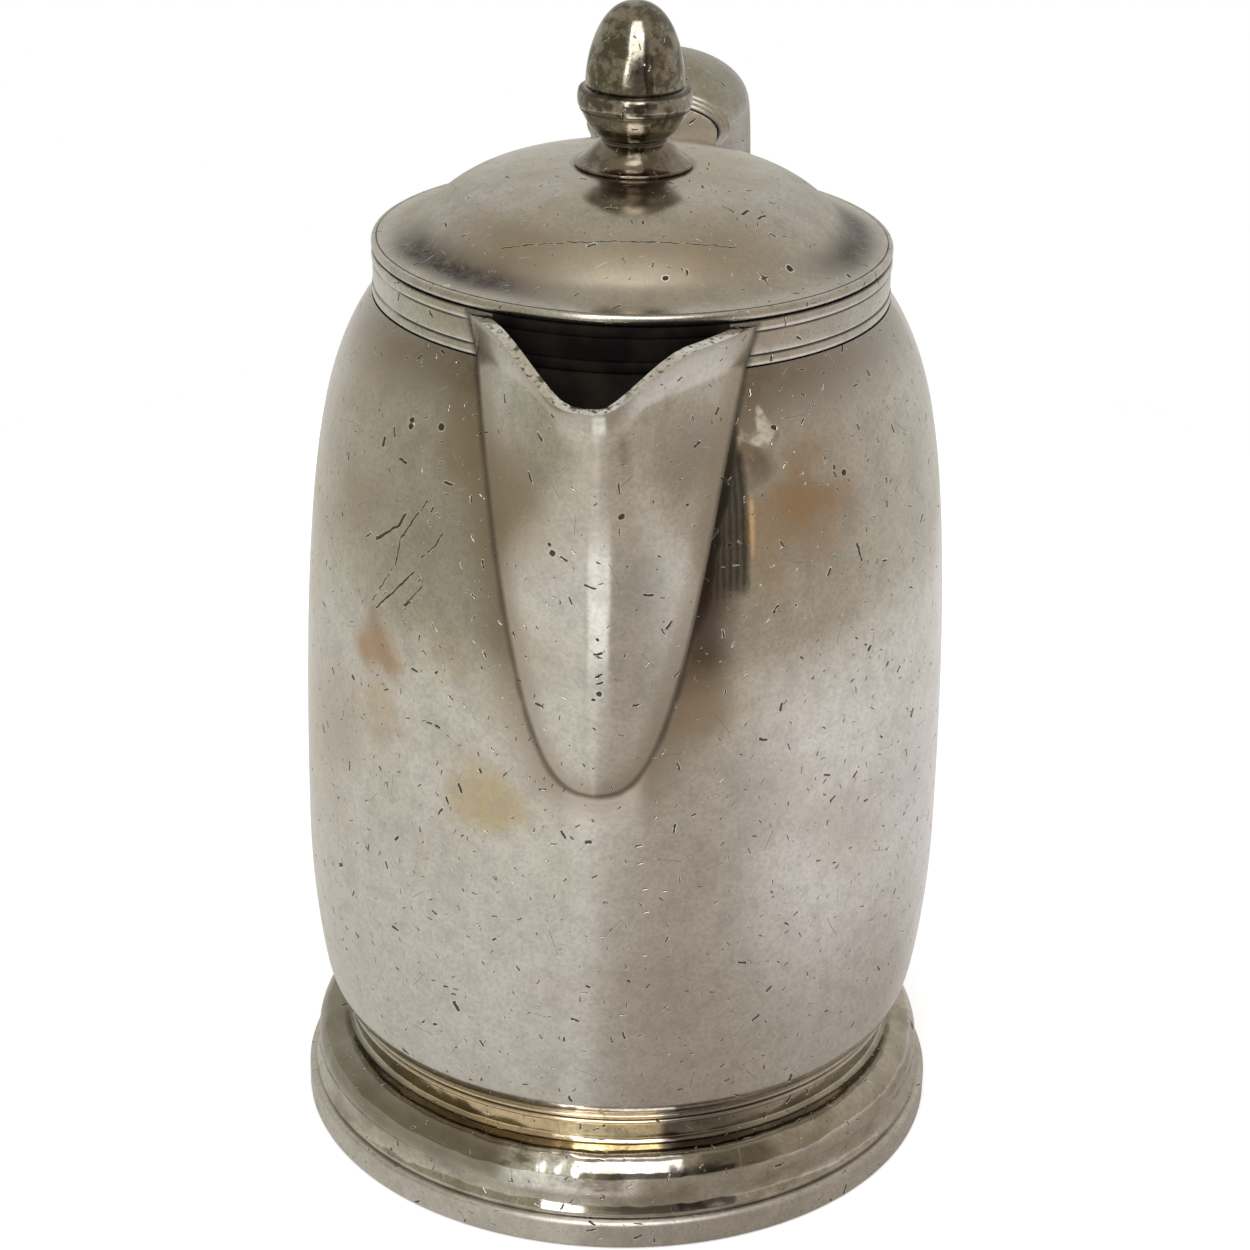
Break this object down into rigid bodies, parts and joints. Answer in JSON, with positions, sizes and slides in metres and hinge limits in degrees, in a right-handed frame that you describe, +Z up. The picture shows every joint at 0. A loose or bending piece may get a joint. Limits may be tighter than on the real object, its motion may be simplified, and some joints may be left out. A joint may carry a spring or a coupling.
{
  "type": "coffee pot",
  "caption": "Silver-plated coffee pot: straight-sided body on a moulded foot, beak spout, domed lid on a hinge, acorn knob and hollow C handle.",
  "frame": {"origin": "centre of the foot's resting ring, on the plane the pot stands on", "axes": "+Z up along the body's axis, -Y towards the spout, +Y towards the handle, +X to the right as seen from the spout's side"},
  "size_m": [0.0926, 0.1349, 0.1631],
  "materials": {
    "silver_plate": "polished",
    "worn_silver": "satin",
    "fastener": "satin"
  },
  "bodies": {
    "pot": {"barrel": "silver_plate", "base_plate": "worn_silver", "foot": "silver_plate", "foot_wire": "worn_silver", "reeded_wire": "silver_plate", "collar": "silver_plate", "spout": "silver_plate", "handle_left": "silver_plate", "handle_right": "silver_plate", "handle_bracket": "silver_plate", "upper_socket": "silver_plate", "lower_socket": "silver_plate", "hinge_knuckles": "worn_silver", "hinge_pin": "fastener"},
    "lid": {"lid_dome": "silver_plate", "lid_rim": "silver_plate", "lid_bezel": "worn_silver", "lid_hinge_leaf": "silver_plate", "finial_pedestal": "silver_plate", "acorn": "silver_plate", "finial_screw": "fastener", "finial_washer": "fastener", "finial_nut": "fastener"}
  },
  "joints": [
    {"name": "lid_hinge", "type": "hinge", "parent": "pot", "child": "lid", "pos_m": [0, 0.0379, 0.1314], "axis": [-1, 0, 0], "range_deg": [0, 95]}
  ]
}
